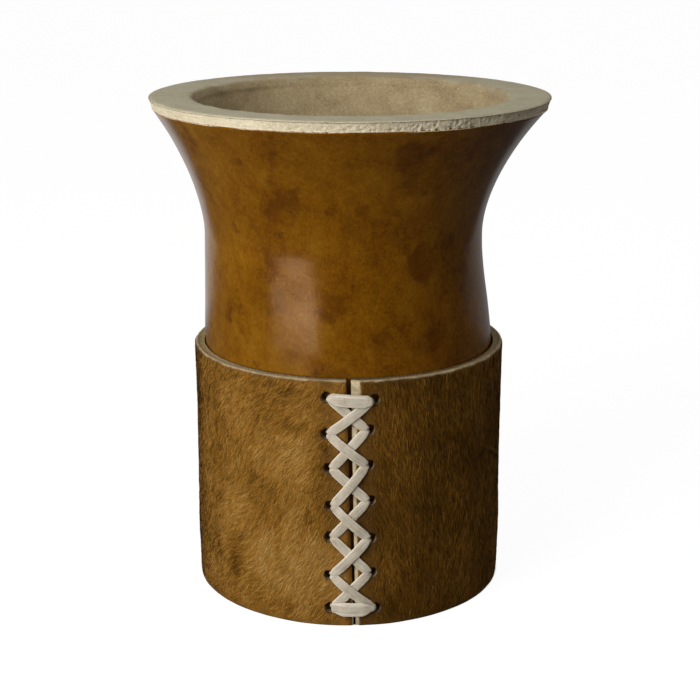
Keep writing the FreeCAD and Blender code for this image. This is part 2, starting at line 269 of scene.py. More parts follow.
def makeGourdSkin(finish):
    g = gourd
    flareTop = g["height"] - g["bandHeight"]
    floorRadius = g["bellyRadius"] - g["footCorner"]
    rows = [(r, g["footLift"], g["bellyShift"]) for r in np.linspace(0.01, floorRadius, 6)]
    turns = np.linspace(0, 1, 14)[1:] * np.pi / 2
    heights = np.concatenate([g["footLift"] + g["footCorner"] * (1 - np.cos(turns)),
                              np.linspace(g["footLift"] + g["footCorner"], g["bellyHeight"], 14)[1:],
                              np.linspace(g["bellyHeight"], flareTop, 96)[1:]])
    radius, shift = gourdForm(heights)
    rows += list(zip(radius, heights, shift))
    rows += [(radius[-1] - inset, flareTop + rise, 0) for inset, rise in g["tuck"]]
    points, angle = turned(rows, g["around"])
    z = points[..., 2]
    middle = smooth(z, 4, 30) * (1 - smooth(z, flareTop - 8, flareTop))
    bulge = g["lump"] * layered(noiseField(3), points / g["lumpWidth"]) * middle
    bulge = np.where(z < g["sinkBelow"], -np.abs(bulge) * 0.4, bulge)
    points = points + bulge[..., None] * outwardAt(angle)
    faces = gridFaces(len(rows), g["around"])
    return meshPiece("gourdSkin", points, faces, [finish], "gourd")


def makeGourdCut(finishes):  # the torn band under the rim, the cut rim, its lip and the bowl
    g = gourd
    band, rim, lip, inside = range(4)
    n = g["bandAround"]
    top, flareTop = g["height"], g["height"] - g["bandHeight"]
    inner = g["rimRadius"] - g["rimWall"]
    rows, kinds = [], []

    def addRow(kind, radius, height, shift=0):
        rows.append((radius, height, shift))
        kinds.append(kind)

    for share in [-0.06, *np.linspace(0.0, 0.93, 19)]:      # the first row is tucked behind the skin
        tuck = 0.5 if share < 0 else 0
        addRow(band, g["rimRadius"] - g["bandInset"] * (1 - share) - tuck, flareTop + share * g["bandHeight"])
    for turn in np.linspace(0.25, 1, 4) * np.pi / 2:
        edge = g["rimRadius"] - g["rimRound"] * (1 - math.cos(turn))
        addRow(rim, edge, top - g["rimRound"] * (1 - math.sin(turn)))
    for radius in np.linspace(g["rimRadius"] - g["rimRound"], inner + g["lipRound"], 14)[1:]:
        addRow(rim, radius, top)
    for turn in np.linspace(0.15, 0.85, 6) * np.pi / 2:
        edge = inner + g["lipRound"] * (1 - math.sin(turn))
        addRow(lip, edge, top - g["lipRound"] * (1 - math.cos(turn)))
    floor = g["footLift"] + g["floorWall"]
    turns = np.linspace(0, 1, 10)[1:] * np.pi / 2
    heights = np.concatenate([np.linspace(top - g["lipRound"], top - 9, 18)[1:],
                              np.linspace(top - 9, floor + g["floorCorner"], 32)[1:],
                              floor + g["floorCorner"] * (1 - np.sin(turns))])
    radii, shifts = innerForm(heights)
    for row in zip(radii, heights, shifts):
        addRow(inside, *row)
    lowest, *rest = rows[-1]
    for radius in np.linspace(lowest, 0.01, 6)[1:]:
        addRow(inside, radius, *rest)
    points, angle = turned(rows, n)
    kinds = np.array(kinds)
    outward = outwardAt(angle)
    coarse, fine = noiseField(11), noiseField(12)

    # the band is torn and crumbly, most of all on the right, and its lower edge wanders
    bandPoints = points[kinds == band]
    stretched = bandPoints * np.array([1, 1, 0.55])
    crumbs = 0.50 * coarse(stretched / 0.5) + 0.50 * fine(stretched / 0.33) + 0.22 * coarse(bandPoints / 2.3)
    torn = 0.5 + 0.5 * smooth(np.sin(angle), -0.5, 0.25)
    cracks = smooth(fine(stretched / 0.42 + 40), 0.15, 0.65) * torn
    depth = np.maximum(g["pit"] - g["crumb"] * crumbs * torn + g["crack"] * cracks, 0.0)
    share = np.linspace(0, 1, len(bandPoints))[:, None]
    depth = depth * (0.25 + 0.75 * smooth(share, 0.05, 0.2)) * (1 - 0.6 * smooth(share, 0.9, 1))
    points[kinds == band] -= depth[..., None] * outward
    wander = 0.13 * coarse(np.stack([angle * 9, angle * 0, angle * 0 + 5], -1)) - 0.12
    wander = wander + 0.03 * fine(np.stack([angle * 45, 0 * angle, 0 * angle], -1))
    points[kinds == band, :, 2] += (1 - share) * wander

    # the cut is sanded nearly flat, and its lip is worn
    flat = (kinds == rim) | (kinds == lip)
    points[flat, :, 2] -= g["sanding"] * (1 + layered(coarse, points[flat] / 4.0))
    away = np.hypot(points[..., 0], points[..., 1])
    worn = np.exp(-((away - inner - 0.8) / 1.3) ** 2) * (kinds != band)[:, None]
    worn = worn * (0.55 + 0.45 * layered(coarse, points / 2.6)) * (points[..., 2] > top - 3)
    points[..., 2] -= g["lipWear"] * worn

    # the inside is scraped, so it undulates
    scraped = points[kinds == inside]
    waves = g["scrape"] * layered(coarse, scraped / 7.0, 4) * smooth(top - scraped[..., 2], 0.5, 5)
    points[kinds == inside] -= waves[..., None] * outward
    points[..., 2] = np.minimum(points[..., 2], top - 0.01)

    piece = meshPiece("gourdCut", points, gridFaces(len(rows), n), finishes)
    faceKind = np.repeat(np.where(kinds[:-1] == band, 0, 1), n)
    piece.data.polygons.foreach_set("material_index", faceKind.astype(np.int32))
    # how deep the band is pitted and cracked; the band's finish darkens it there as painted shade
    addValues(piece, "pit", np.pad((depth / 0.5).ravel(), (0, (len(rows) - len(bandPoints)) * n)))
    within = 1 - smooth(away + 0.7 * layered(coarse, points / 3.0), inner - 0.2, inner + 1.9)
    addValues(piece, "within", within.ravel())


def skinFinish():
    f = Finish("gourdSkinVarnish")
    spot = f.place()
    wide = f.clouds(spot, 0.035, 3, 0.5, 0.4)
    cloudy = f.clouds(f.place(shift=(11, 4, 2)), 0.085, 6, 0.62, 0.5)
    mottle = f.clouds(f.place((1, 1, 0.8), (31, 0, 9)), 0.26, 5, 0.6)
    grain = f.clouds(f.place((1, 1, 0.35), (0, 17, 0)), 1.3, 4, 0.6)
    speckled = f.clouds(f.place(shift=(0, 3, 44)), 0.9, 5, 0.7)
    fine = f.clouds(f.place((1, 1, 0.6), (8, 8, 8)), 2.6, 4, 0.7)
    tone = 0.28 * cloudy + 0.23 * mottle + 0.22 * wide + 0.08 * grain + 0.18 * speckled + 0.26 * fine - 0.113
    tone = tone - f.axis(spot, "X") * 0.0011        # darker towards the right
    colour = f.ramp(tone, (0.30, (0.048, 0.014, 0.0006)), (0.42, (0.092, 0.030, 0.001)),
                    (0.52, (0.150, 0.055, 0.0015)), (0.62, (0.200, 0.084, 0.004)),
                    (0.74, (0.27, 0.135, 0.016)))
    reds = f.step(f.clouds(f.place(shift=(3, 40, 21)), 0.10, 4, 0.6), 0.53, 0.68)
    colour = f.blend(reds * 0.6, colour, (0.062, 0.016, 0.001))
    spots = f.step(f.clouds(f.place(shift=(60, 4, 2)), 0.34, 2, 0.5), 0.66, 0.76)
    colour = f.blend(spots * 0.35, colour, (0.035, 0.010, 0.002))
    speck = f.node("ShaderNodeTexVoronoi", None, {"Vector": spot, "Scale": 0.42, "Randomness": 1.0})
    speck = (1 - f.step(speck, 0.035, 0.06)) * f.step(f.clouds(spot, 0.09, 2), 0.5, 0.6)
    colour = f.blend(speck * 0.7, colour, (0.30, 0.19, 0.07))
    height = 0.6 * mottle + 0.3 * grain
    rough = 0.13 + 0.09 * f.clouds(f.place(shift=(5, 5, 50)), 0.2, 4, 0.6)
    return f.shade({"Base Color": colour, "Roughness": rough, "Specular IOR Level": 0.4,
                    "Specular Tint": (1.0, 0.66, 0.42), "Normal": f.bump(height, 0.12, 0.5)})


def bandFinish():
    f = Finish("gourdSandedBand")
    grit = f.clouds(f.place((1, 1, 0.7)), 2.2, 6, 0.7)
    wide = f.clouds(f.place(), 0.12, 3, 0.5)
    colour = f.ramp(0.6 * grit + 0.4 * wide, (0.3, (0.46, 0.375, 0.23)), (0.5, (0.66, 0.57, 0.395)),
                    (0.7, (0.80, 0.72, 0.54)))
    # painted shade: darker where the band is pitted and cracked deepest
    colour = f.blend(f.step(f.attribute("pit"), 0.45, 0.95) * 0.85, colour, (0.17, 0.115, 0.055))
    return f.shade({"Base Color": colour, "Roughness": 0.85, "Specular IOR Level": 0.2,
                    "Normal": f.bump(grit, 0.3, 1.0)})


def cutFinish():
    f = Finish("gourdCutAndInside")
    fine = f.clouds(f.place((1, 0.6, 1)), 1.5, 6, 0.72)
    wide = f.clouds(f.place(), 0.16, 4, 0.55)
    sanded = f.ramp(0.6 * fine + 0.4 * wide, (0.3, (0.36, 0.315, 0.19)), (0.5, (0.46, 0.41, 0.275)),
                    (0.72, (0.55, 0.495, 0.35)))
    pores = f.clouds(f.place(shift=(4, 0, 0)), 1.7, 6, 0.72)
    stains = f.clouds(f.place((1, 1, 1.3), (0, 9, 0)), 0.13, 5, 0.62, 0.4)
    scraped = f.ramp(0.6 * pores + 0.4 * stains, (0.32, (0.21, 0.15, 0.07)), (0.45, (0.32, 0.24, 0.128)),
                     (0.55, (0.40, 0.31, 0.17)), (0.70, (0.54, 0.44, 0.26)))
    stained = f.step(f.axis(f.place(), "Y"), 22, 40) * f.step(stains, 0.30, 0.5) * 0.8
    colour = f.blend(stained, sanded, (0.37, 0.275, 0.15))
    colour = f.blend(f.attribute("within"), colour, scraped)
    flecks = f.step(f.clouds(f.place(shift=(0, 0, 70)), 1.1, 2, 0.5), 0.70, 0.80)
    colour = f.blend(flecks * 0.45, colour, (0.16, 0.11, 0.055))
    return f.shade({"Base Color": colour, "Roughness": 0.75, "Specular IOR Level": 0.22,
                    "Normal": f.bump(fine + 0.6 * pores, 0.14, 0.7)})


print("gourd")
makeGourdSkin(skinFinish())
makeGourdCut([bandFinish(), cutFinish()])

# The sleeve.

sleeve = {
    "height": 57.0, "bore": 33.6, "thick": 2.0, "shift": -0.3, "swell": 0.2, "flare": 0.15,
    "seamTop": 1.05, "seamFoot": 0.5, "seamLean": 1.35,
    "bevel": 0.8, "topSlope": 0.45, "topWaver": 0.15,   # skived top edge
    "flapTop": 1.9, "flapFoot": 0.8, "flapDrop": 0.45,  # bare skived strip on the right flap, and its slope
    "leftDrop": 0.3,            # how much the left flap's edge is skived
    "holeRadius": 1.15, "holeSpread": 4.85, "holeSides": 28, "topRow": 53.0, "rowPitch": 8.15, "rows": 7,
    # how far each hole strays outwards and upwards, from the top row down
    "leftStray": ((0.10, 0.30), (0.40, 0.05), (-0.05, 0.35), (-0.10, -0.15), (0.25, 0.70),
                  (0.50, -0.15), (0.60, 0.15)),
    "rightStray": ((0.70, -0.40), (-0.60, 1.05), (-0.85, 1.15), (-0.75, 1.10), (-0.75, 0.40),
                   (-0.80, 0.50), (-0.05, 0.0)),
    "relief": 0.10, "fineRelief": 0.03, "reliefSeed": 21,
    "welt": {"from": (62.5, 34.9), "to": (74.5, 31.2), "rise": 0.45, "width": 0.7},  # degrees round, height
}
hideOuter = sleeve["bore"] + sleeve["thick"]


def hideRadius(z):  # of the hair side, which swells and flares a little
    s = sleeve
    share = np.clip(z / s["height"], 0, 1)
    swell = np.interp(share, (0, 0.22, 0.45, 0.8, 0.985, 1), (0, s["swell"], 0, 0, s["flare"], s["flare"]))
    return hideOuter + swell


def seamAt(z):  # the seam's distance to the right
    return sleeve["seamLean"] * (1 - z / sleeve["height"])


def seamGap(z):
    return sleeve["seamFoot"] + (sleeve["seamTop"] - sleeve["seamFoot"]) * z / sleeve["height"]


def flapWidth(z):  # of the bare strip on the right flap
    return sleeve["flapFoot"] + (sleeve["flapTop"] - sleeve["flapFoot"]) * smooth(z, 38, 56)


def hidePlaces(angle, z):  # on the hair side, about the sleeve's own middle
    radius = hideRadius(z)
    return np.stack([radius * np.sin(angle), -radius * np.cos(angle), z], -1)


def hideRelief(angle, z, field):
    s = sleeve
    places = hidePlaces(angle, z)
    relief = s["relief"] * layered(field, places / 9.0) + s["fineRelief"] * field(places / 2.0)
    return relief * smooth(s["height"] - z, 0.5, 3)


def weltRise(angle, z):  # a raised scar in the hide
    w = sleeve["welt"]
    degrees = np.degrees(angle) % 360
    (a0, z0), (a1, z1) = w["from"], w["to"]
    ridge = z - (z0 + np.clip((degrees - a0) / (a1 - a0), 0, 1) * (z1 - z0))
    ends = smooth(degrees, a0 - 2, a0 + 1) * (1 - smooth(degrees, a1, a1 + 2.5))
    return w["rise"] * np.exp(-(ridge / w["width"]) ** 2) * ends


def holePlace(side, row):  # angle and height
    s = sleeve
    out, up = s["leftStray" if side < 0 else "rightStray"][row]
    z = s["topRow"] - row * s["rowPitch"] + up
    # the angle is laid out from the sleeve's own middle, as the holes are bored
    angle = math.asin((seamAt(z) + side * (s["holeSpread"] + out)) / hideOuter)
    return angle, z


hideColours = {
    "pale": (0.40, 0.245, 0.075), "gold": (0.32, 0.150, 0.023), "tan": (0.235, 0.106, 0.012),
    "brown": (0.125, 0.052, 0.004), "olive": (0.072, 0.030, 0.0015), "dark": (0.027, 0.011, 0.0006),
}


def hairColour(angle, z, grain):  # golden on the left half, brown on the right, with soft streaks and spots, and painted fill light lifting the far right
    signed = (angle + np.pi) % (2 * np.pi) - np.pi
    places = np.stack([hideOuter * np.sin(angle), -hideOuter * np.cos(angle), z], -1)
    streaks = layered(noiseField(33), places / np.array([5.0, 5.0, 14.0]), 3)
    spots = smooth(layered(noiseField(34), places / 4.2 + 11, 2), 0.42, 0.85)
    patches = layered(noiseField(32), places / 12.0, 4)
    backward = smooth(np.abs(signed), 1.75, 2.6)
    golden = smooth(signed, 0.03, -0.03) * (1 - backward) + 0.45 * backward
    outskirt = 0.22 * smooth(np.abs(signed), 0.95, 1.45) * (1 - backward)
    tone = 0.56 + 0.12 * patches + 0.10 * streaks - 0.14 * spots + 0.46 * (grain - 0.5)
    tone = tone + golden * (0.03 - outskirt + 0.05 * (1 - z / sleeve["height"]))
    tone = tone * (0.66 + 0.40 * golden)
    # painted fill light: the far right is lifted, and the right half is a little darker
    tone = tone + (0.15 * smooth(signed, 0.5, 1.2) - 0.025 * smooth(signed, 0.0, 0.1)) * (1 - backward)
    tone = np.clip(tone, 0, 1)
    c = hideColours
    stops = np.array([c["dark"], c["olive"], c["brown"], c["tan"], c["gold"], c["pale"]])
    at = np.array([0.05, 0.22, 0.40, 0.58, 0.76, 1.0])
    return np.stack([np.interp(tone, at, stops[:, k]) for k in range(3)], -1)


def makeSleeve(finishes):  # unrolled from the right flap round the back to the left flap
    s = sleeve
    heights = np.concatenate([[0, 0.25], np.linspace(0.8, s["height"] - 1.6, 88),
                              s["height"] - np.array([1.2, 0.9, 0.65, 0.45, 0.28, 0.14, 0.04, 0])])
    near = np.concatenate([[0, 0.15, 0.3], np.linspace(0.55, 9, 30)])
    girth = 2 * np.pi * hideOuter
    far = np.linspace(9, girth - 9, 232)[1:-1]
    along = np.concatenate([near, far, girth - near[::-1]])
    z, t = np.meshgrid(heights, along / girth, indexing="ij")
    outerRadius = hideRadius(z)
    start = (seamAt(z) + seamGap(z) / 2) / outerRadius
    end = 2 * np.pi + (seamAt(z) - seamGap(z) / 2) / outerRadius
    angle = start + t * (end - start)
    fromRight = (angle - start) * outerRadius
    fromLeft = (end - angle) * outerRadius
    fromTop = s["height"] - z
    places = hidePlaces(angle, z)
    broad = noiseField(s["reliefSeed"])
    cut = np.clip(fromTop / s["bevel"], 0, 1)
    bevel = 0.8 * s["bevel"] * (1 - np.sqrt(np.clip(1 - (1 - cut) ** 2, 0, 1)))
    flap = flapWidth(z) * (1 + 0.12 * broad(np.stack([z / 3, 0 * z, 0 * z], -1)))
    skive = s["flapDrop"] * (1 - smooth(fromRight, 0, flap + 0.1))
    skive = skive + s["leftDrop"] * (1 - smooth(fromLeft, 0, 0.7))
    outer = outerRadius + hideRelief(angle, z, broad) - bevel - skive + weltRise(angle, z)
    inner = np.full_like(outer, s["bore"] + 0.02)
    points = [np.stack([s["shift"] + radius * np.sin(angle), -radius * np.cos(angle), z], -1)
              for radius in (outer, inner)]
    # the top edge is a pale cut, a little uneven, that slopes inwards
    points[0][-1, :, 2] -= s["topWaver"] * (0.5 + 0.5 * broad(places[-1] / 3.0))
    points[1][-1, :, 2] = points[0][-1, :, 2] - s["topSlope"]

    rows, columns = z.shape
    count = rows * columns
    front = gridFaces(rows, columns, closed=False)
    back = front[:, ::-1] + count
    j = np.arange(columns - 1)
    i = np.arange(rows - 1)
    last = (rows - 1) * columns
    bottom = np.stack([j, j + count, j + 1 + count, j + 1], -1)
    top = np.stack([last + j, last + j + 1, last + j + 1 + count, last + j + count], -1)
    right = np.stack([i * columns, (i + 1) * columns, (i + 1) * columns + count, i * columns + count], -1)
    left = right[:, ::-1] + columns - 1
    sides = ((front, 0), (back, 1), (bottom, 2), (top, 2), (right, 2), (left, 2))
    faces = np.concatenate([side for side, finish in sides])
    kinds = np.concatenate([np.full(len(side), finish) for side, finish in sides])
    points = np.concatenate([p.reshape(-1, 3) for p in points])
    piece = meshPiece("hideSleeve", points, faces, finishes, "hide_sleeve")
    piece.data.polygons.foreach_set("material_index", kinds.astype(np.int32))

    bare = 1 - smooth(fromRight, flap - 0.25, flap + 0.1)
    bare = bare + 0.8 * (1 - smooth(fromTop + 0.2 * broad(places / 1.2), 0.05, 0.5))
    bare = bare + (1 - smooth(fromLeft, 0.15, 0.35)) * (1 - smooth(z, 6, 12))
    addValues(piece, "bare", np.concatenate([np.clip(bare, 0, 1).ravel(), np.zeros(count)]))
    shade = hairColour(angle.ravel(), z.ravel(), np.full(angle.size, 0.42))
    addValues(piece, "hairColour", np.concatenate([shade, shade]))
    punchHoles(piece, finishes[-1])
    return piece


def punchHoles(piece, finish):
    s = sleeve
    n = s["holeSides"]
    k = np.arange(n)
    ring = k / n * 2 * np.pi
    walls = np.stack([k, (k + 1) % n, (k + 1) % n + n, k + n], -1)
    points, faces = [], []
    for side in (-1, 1):
        for row in range(s["rows"]):
            angle, z = holePlace(side, row)
            out = np.array([math.sin(angle), -math.cos(angle), 0])
            across = np.array([math.cos(angle), math.sin(angle), 0])
            rim = s["holeRadius"] * (np.outer(np.cos(ring), across) + np.outer(np.sin(ring), (0, 0, 1)))
            middle = np.array([s["shift"], 0, z])
            base = len(points)
            for reach in (s["bore"] - 1, s["bore"] + 4):
                points += [tuple(p) for p in (middle + reach * out + rim) * mm]
            faces += (walls + base).tolist()
            faces += [list(range(base + n - 1, base - 1, -1)), list(range(base + n, base + 2 * n))]
    mesh = bpy.data.meshes.new("punch")
    mesh.from_pydata(points, [], faces)
    mesh.materials.append(finish)
    punch = bpy.data.objects.new("punch", mesh)
    bpy.context.scene.collection.objects.link(punch)
    cut = piece.modifiers.new("holes", "BOOLEAN")
    cut.object, cut.operation, cut.solver, cut.material_mode = punch, "DIFFERENCE", "EXACT", "TRANSFER"
    graph = bpy.context.evaluated_depsgraph_get()
    punched = bpy.data.meshes.new_from_object(piece.evaluated_get(graph))
    piece.modifiers.clear()
    piece.data = punched
    bpy.data.objects.remove(punch)


def hideFinish():
    f = Finish("hideUnderHair")
    slant = f.clouds(f.place((1, 1, 0.4)), 0.9, 5, 0.6)
    patches = f.clouds(f.place(shift=(2, 2, 2)), 0.08, 4, 0.6)
    lit = f.attribute("hairColour", "Color")
    dim = f.blend(0.55, (0.0, 0.0, 0.0), lit)
    colour = f.blend(f.step(0.6 * slant + 0.4 * patches, 0.3, 0.7), dim, lit)
    skived = f.clouds(f.place(shift=(1, 0, 0)), 0.8, 5, 0.6)
    cream = f.ramp(skived, (0.3, (0.30, 0.23, 0.125)), (0.7, (0.54, 0.44, 0.28)))
    colour = f.blend(f.attribute("bare"), colour, cream)
    return f.shade({"Base Color": colour, "Roughness": 0.8, "Specular IOR Level": 0.2,
                    "Normal": f.bump(slant, 0.15, 0.7)})


def fleshFinish():
    f = Finish("hideFleshSide")
    nap = f.clouds(f.place(), 1.4, 6, 0.7)
    colour = f.ramp(nap, (0.3, (0.20, 0.14, 0.07)), (0.7, (0.36, 0.27, 0.16)))
    return f.shade({"Base Color": colour, "Roughness": 0.95, "Specular IOR Level": 0.1,
                    "Normal": f.bump(nap, 0.2, 0.8)})


def edgeFinish():
    f = Finish("hideCutEdge")
    layer = f.clouds(f.place((1, 1, 2.0)), 1.1, 6, 0.65)
    colour = f.ramp(layer, (0.3, (0.18, 0.12, 0.045)), (0.5, (0.30, 0.215, 0.095)),
                    (0.7, (0.42, 0.32, 0.165)))
    return f.shade({"Base Color": colour, "Roughness": 0.85, "Specular IOR Level": 0.15,
                    "Normal": f.bump(layer, 0.15, 0.7)})


def holeFinish():
    f = Finish("hidePunchedEdge")
    layer = f.clouds(f.place(), 1.6, 4, 0.6)
    # painted shade: the punched walls get the cut leather's colour, darkened for the shade inside the holes
    colour = f.ramp(layer, (0.3, (0.13, 0.08, 0.035)), (0.7, (0.34, 0.25, 0.14)))
    return f.shade({"Base Color": colour, "Roughness": 0.9, "Specular IOR Level": 0.1,
                    "Normal": f.bump(layer, 0.1, 0.6)})


print("sleeve")
makeSleeve([hideFinish(), fleshFinish(), edgeFinish(), holeFinish()])

# The hair.

hair = {
    "pieces": 3, "strands": 35000, "length": (1.2, 3.0), "width": (0.09, 0.17), "lift": (0.02, 0.09),
    "leanLeft": 0.62, "leanRight": -0.10,   # from straight down, in radians
    "thin": 0.85,               # share of the hair worn away beside the lace
    "seed": 5,
}


def makeHair(finish):
    s, h = sleeve, hair
    rng = np.random.default_rng(h["seed"])
    broad, relief = noiseField(31), noiseField(s["reliefSeed"])
    total = h["pieces"] * h["strands"]
    angle = rng.uniform(0, 2 * np.pi, int(total * 1.25))
    z = rng.uniform(0.0, s["height"] + 1.0, len(angle))
    radius = hideRadius(z)
    signed = (angle + np.pi) % (2 * np.pi) - np.pi
    fromSeam = signed * radius - seamAt(z)
    isRight = signed > 0
    places = hidePlaces(angle, z)

    # it lies downwards, to one side on the left half and nearly straight on the right
    lean = np.where(isRight, h["leanRight"], h["leanLeft"])
    lean = lean * np.where(np.abs(signed) > 2.4, (np.pi - np.abs(signed)) / 0.74, 1)
    heading = lean + 0.30 * layered(broad, places / 13.0) + rng.normal(0, 0.20, len(angle))
    length = rng.uniform(*h["length"], len(angle))
    direction = np.stack([-np.sin(heading), -np.cos(heading)], -1)   # along the hide, and up it
    tipZ = z + direction[:, 1] * length
    tipSide = fromSeam + direction[:, 0] * length

    keep = (tipZ > 0.15) & (z < s["height"] - 0.1 - 0.5 * rng.uniform(size=len(z)))
    front = np.abs(signed) < 0.5
    rightLimit = seamGap(z) / 2 + flapWidth(z) + 0.05
    leftLimit = -seamGap(z) / 2 - 0.25
    keep &= ~(front & isRight & (np.minimum(fromSeam, tipSide) < rightLimit))
    keep &= ~(front & ~isRight & (np.maximum(fromSeam, tipSide) > leftLimit))
    # none lies over a hole, and little beside the lace
    for side in (-1, 1):
        for row in range(s["rows"]):
            holeAngle, holeZ = holePlace(side, row)
            for share in (0.0, 0.5, 1.0):
                across = signed * radius + direction[:, 0] * length * share - holeAngle * radius
                up = z + direction[:, 1] * length * share - holeZ
                keep &= across ** 2 + up ** 2 > (s["holeRadius"] + 0.12) ** 2
    laced = smooth(z, 1, 4) * (1 - smooth(z, 53, 56))
    beside = 1 - smooth(np.abs(fromSeam) + 0.8 * broad(places / 2.0), 2.5, 7.0)
    keep &= rng.uniform(size=len(z)) > h["thin"] * laced * beside
    chosen = np.flatnonzero(keep)[:total]
    count = len(chosen)
    angle, z, radius, heading, length, fromSeam = (
        values[chosen] for values in (angle, z, radius, heading, length, fromSeam))
    length = length * (0.4 + 0.6 * smooth(np.abs(fromSeam), 3, 8))
    colour = hairColour(angle, z, rng.uniform(0, 1, count))

    # each strand is a ribbon of three spans that tapers to a point
    width = rng.uniform(*h["width"], count)
    roll = rng.normal(0, 0.45, count)
    curl = rng.normal(0, 0.12, count)
    high = rng.uniform(*h["lift"], count)
    upright = np.array([0, 0, 1])
    points = np.empty((count, 7, 3))
    for i, share in enumerate((0, 0.34, 0.70, 1.0)):
        turn = heading + curl * share
        here = angle - np.sin(turn) * length * share / radius
        height = z - np.cos(turn) * length * share
        rise = 0.02 + high * np.sin(np.pi * min(share + 0.12, 0.8) / 1.1)
        reach = hideRadius(height) + hideRelief(here, height, relief) + rise + weltRise(here, height)
        out = outwardAt(here)
        middle = np.array([s["shift"], 0, 0]) + out * reach[:, None] + upright * height[:, None]
        if share == 1:
            points[:, 6] = middle
            continue
        tangent = np.stack([np.cos(here), np.sin(here), 0 * here], -1)
        flat = tangent * np.cos(turn)[:, None] - upright * np.sin(turn)[:, None]
        side = flat * np.cos(roll)[:, None] + out * np.sin(roll)[:, None]
        half = (width * (1 - 0.35 * share) / 2)[:, None]
        points[:, 2 * i] = middle - side * half
        points[:, 2 * i + 1] = middle + side * half
    points[..., 2] = np.maximum(points[..., 2], 0.03)
    order = np.argsort(angle, kind="stable")
    for letter, part in zip("ABC", np.array_split(order, h["pieces"])):
        base = np.arange(len(part))[:, None] * 7
        quads = np.concatenate([base + np.array([0, 1, 3, 2]), base + np.array([2, 3, 5, 4])], 0)
        faces = [*quads, *(base + np.array([4, 5, 6]))]
        piece = meshPiece("hair" + letter, points[part], faces, [finish])
        addValues(piece, "strandColour", np.repeat(colour[part], 7, 0))


def hairFinish():
    f = Finish("hideHair")
    colour = f.attribute("strandColour", "Color")
    return f.shade({"Base Color": colour, "Roughness": 0.6, "Specular IOR Level": 0.06,
                    "Sheen Weight": 0.08, "Sheen Roughness": 0.4, "Sheen Tint": (0.9, 0.8, 0.7)})


print("hair")
makeHair(hairFinish())

# The lace.

lace = {
    "width": 2.15, "thick": 0.46, "barWidth": 2.45, "trimWidth": 0.9, "knotWidth": 3.3, "around": 20,
    "clear": 0.06,              # between the hide and the straps that lie on it
    "plunge": 1.5,              # how deep a strap is drawn into a hole
    "corner": 0.42,             # the bend at a hole's edge
    "pull": 0.62,               # how far it is drawn towards the seam
    # how high each kind lies at its ends, how much its middle rises, and between which shares of its length
    "rises": {"over": (0, 0.50, 0.06, 0.36), "under": (0, 0, 0, 1), "bar": (0.66, 0.22, 0.1, 0.5),
              "trim": (0.42, 0.12, 0.1, 0.5), "knot": (0.55, 0.30, 0.05, 0.3)},
    "barDrop": 0.35, "trimRise": 0.72, "knotRise": 0.35, "knotSag": 0.25, "knotTurn": 0.010,
}


def strap(path, outs, widths, tilt, sag):  # sweeps a flat section with softened edges along the path
    n = lace["around"]
    ring = np.arange(n) / n * 2 * np.pi
    flat = np.sign(np.cos(ring)) * np.abs(np.cos(ring)) ** 0.35
    deep = np.sign(np.sin(ring)) * np.abs(np.sin(ring)) ** 0.6
    ahead = np.gradient(path, axis=0)
    ahead /= np.linalg.norm(ahead, axis=1)[:, None]
    across = np.cross(outs, ahead)
    across /= np.linalg.norm(across, axis=1)[:, None]
    up = np.cross(ahead, across)
    across, up = (across * np.cos(tilt)[:, None] + up * np.sin(tilt)[:, None],
                  up * np.cos(tilt)[:, None] - across * np.sin(tilt)[:, None])
    sideways = across[:, None] * flat[:, None] * widths[:, None, None] / 2
    height = deep * lace["thick"] / 2 - sag[:, None] * flat ** 2        # the edges curl down a little
    points = path[:, None] + sideways + up[:, None] * height[:, :, None]
    run = np.concatenate([[0], np.cumsum(np.linalg.norm(np.diff(path, axis=0), axis=1))])
    coords = np.stack([np.repeat(run, n), np.tile(flat, len(run)) * np.repeat(widths, n) / 2,
                       np.tile(deep, len(run))], -1)
    return points, coords


def strapShares(length):  # along a strap from hole to hole, and how deep it is there
    l = lace
    bend = np.linspace(0, 1, 7)[1:] * np.pi / 2
    c = l["corner"] / length
    lying = c + np.linspace(0, 1, 41)[1:-1] * (1 - 2 * c)
    turnIn = c * (1 - np.cos(bend))
    share = np.concatenate([[0, 0], turnIn, lying, 1 - turnIn[::-1], [1, 1]])
    deep = np.array([l["plunge"], l["plunge"] / 2 + 0.2])
    turnDown = l["corner"] * (1 - np.sin(bend))
    drop = np.concatenate([deep, turnDown, 0 * lying, turnDown[::-1], deep[::-1]])
    return share, drop


def strapWidths(kind, share, ends, waver):
    l = lace
    if kind == "bar":
        return l["barWidth"] * (1 - 0.42 * (1 - smooth(ends, 0.0, 0.22)))
    if kind == "trim":
        return l["trimWidth"] + 0 * share
    if kind == "knot":
        swell = 0.66 + 0.34 * smooth(share, 0.0, 0.30)
        return l["knotWidth"] * swell * (1 - 0.62 * smooth(share, 0.66, 1.0))
    return l["width"] * (1 - 0.22 * (1 - smooth(ends, 0.0, 0.14))) * (1 + 0.03 * waver)


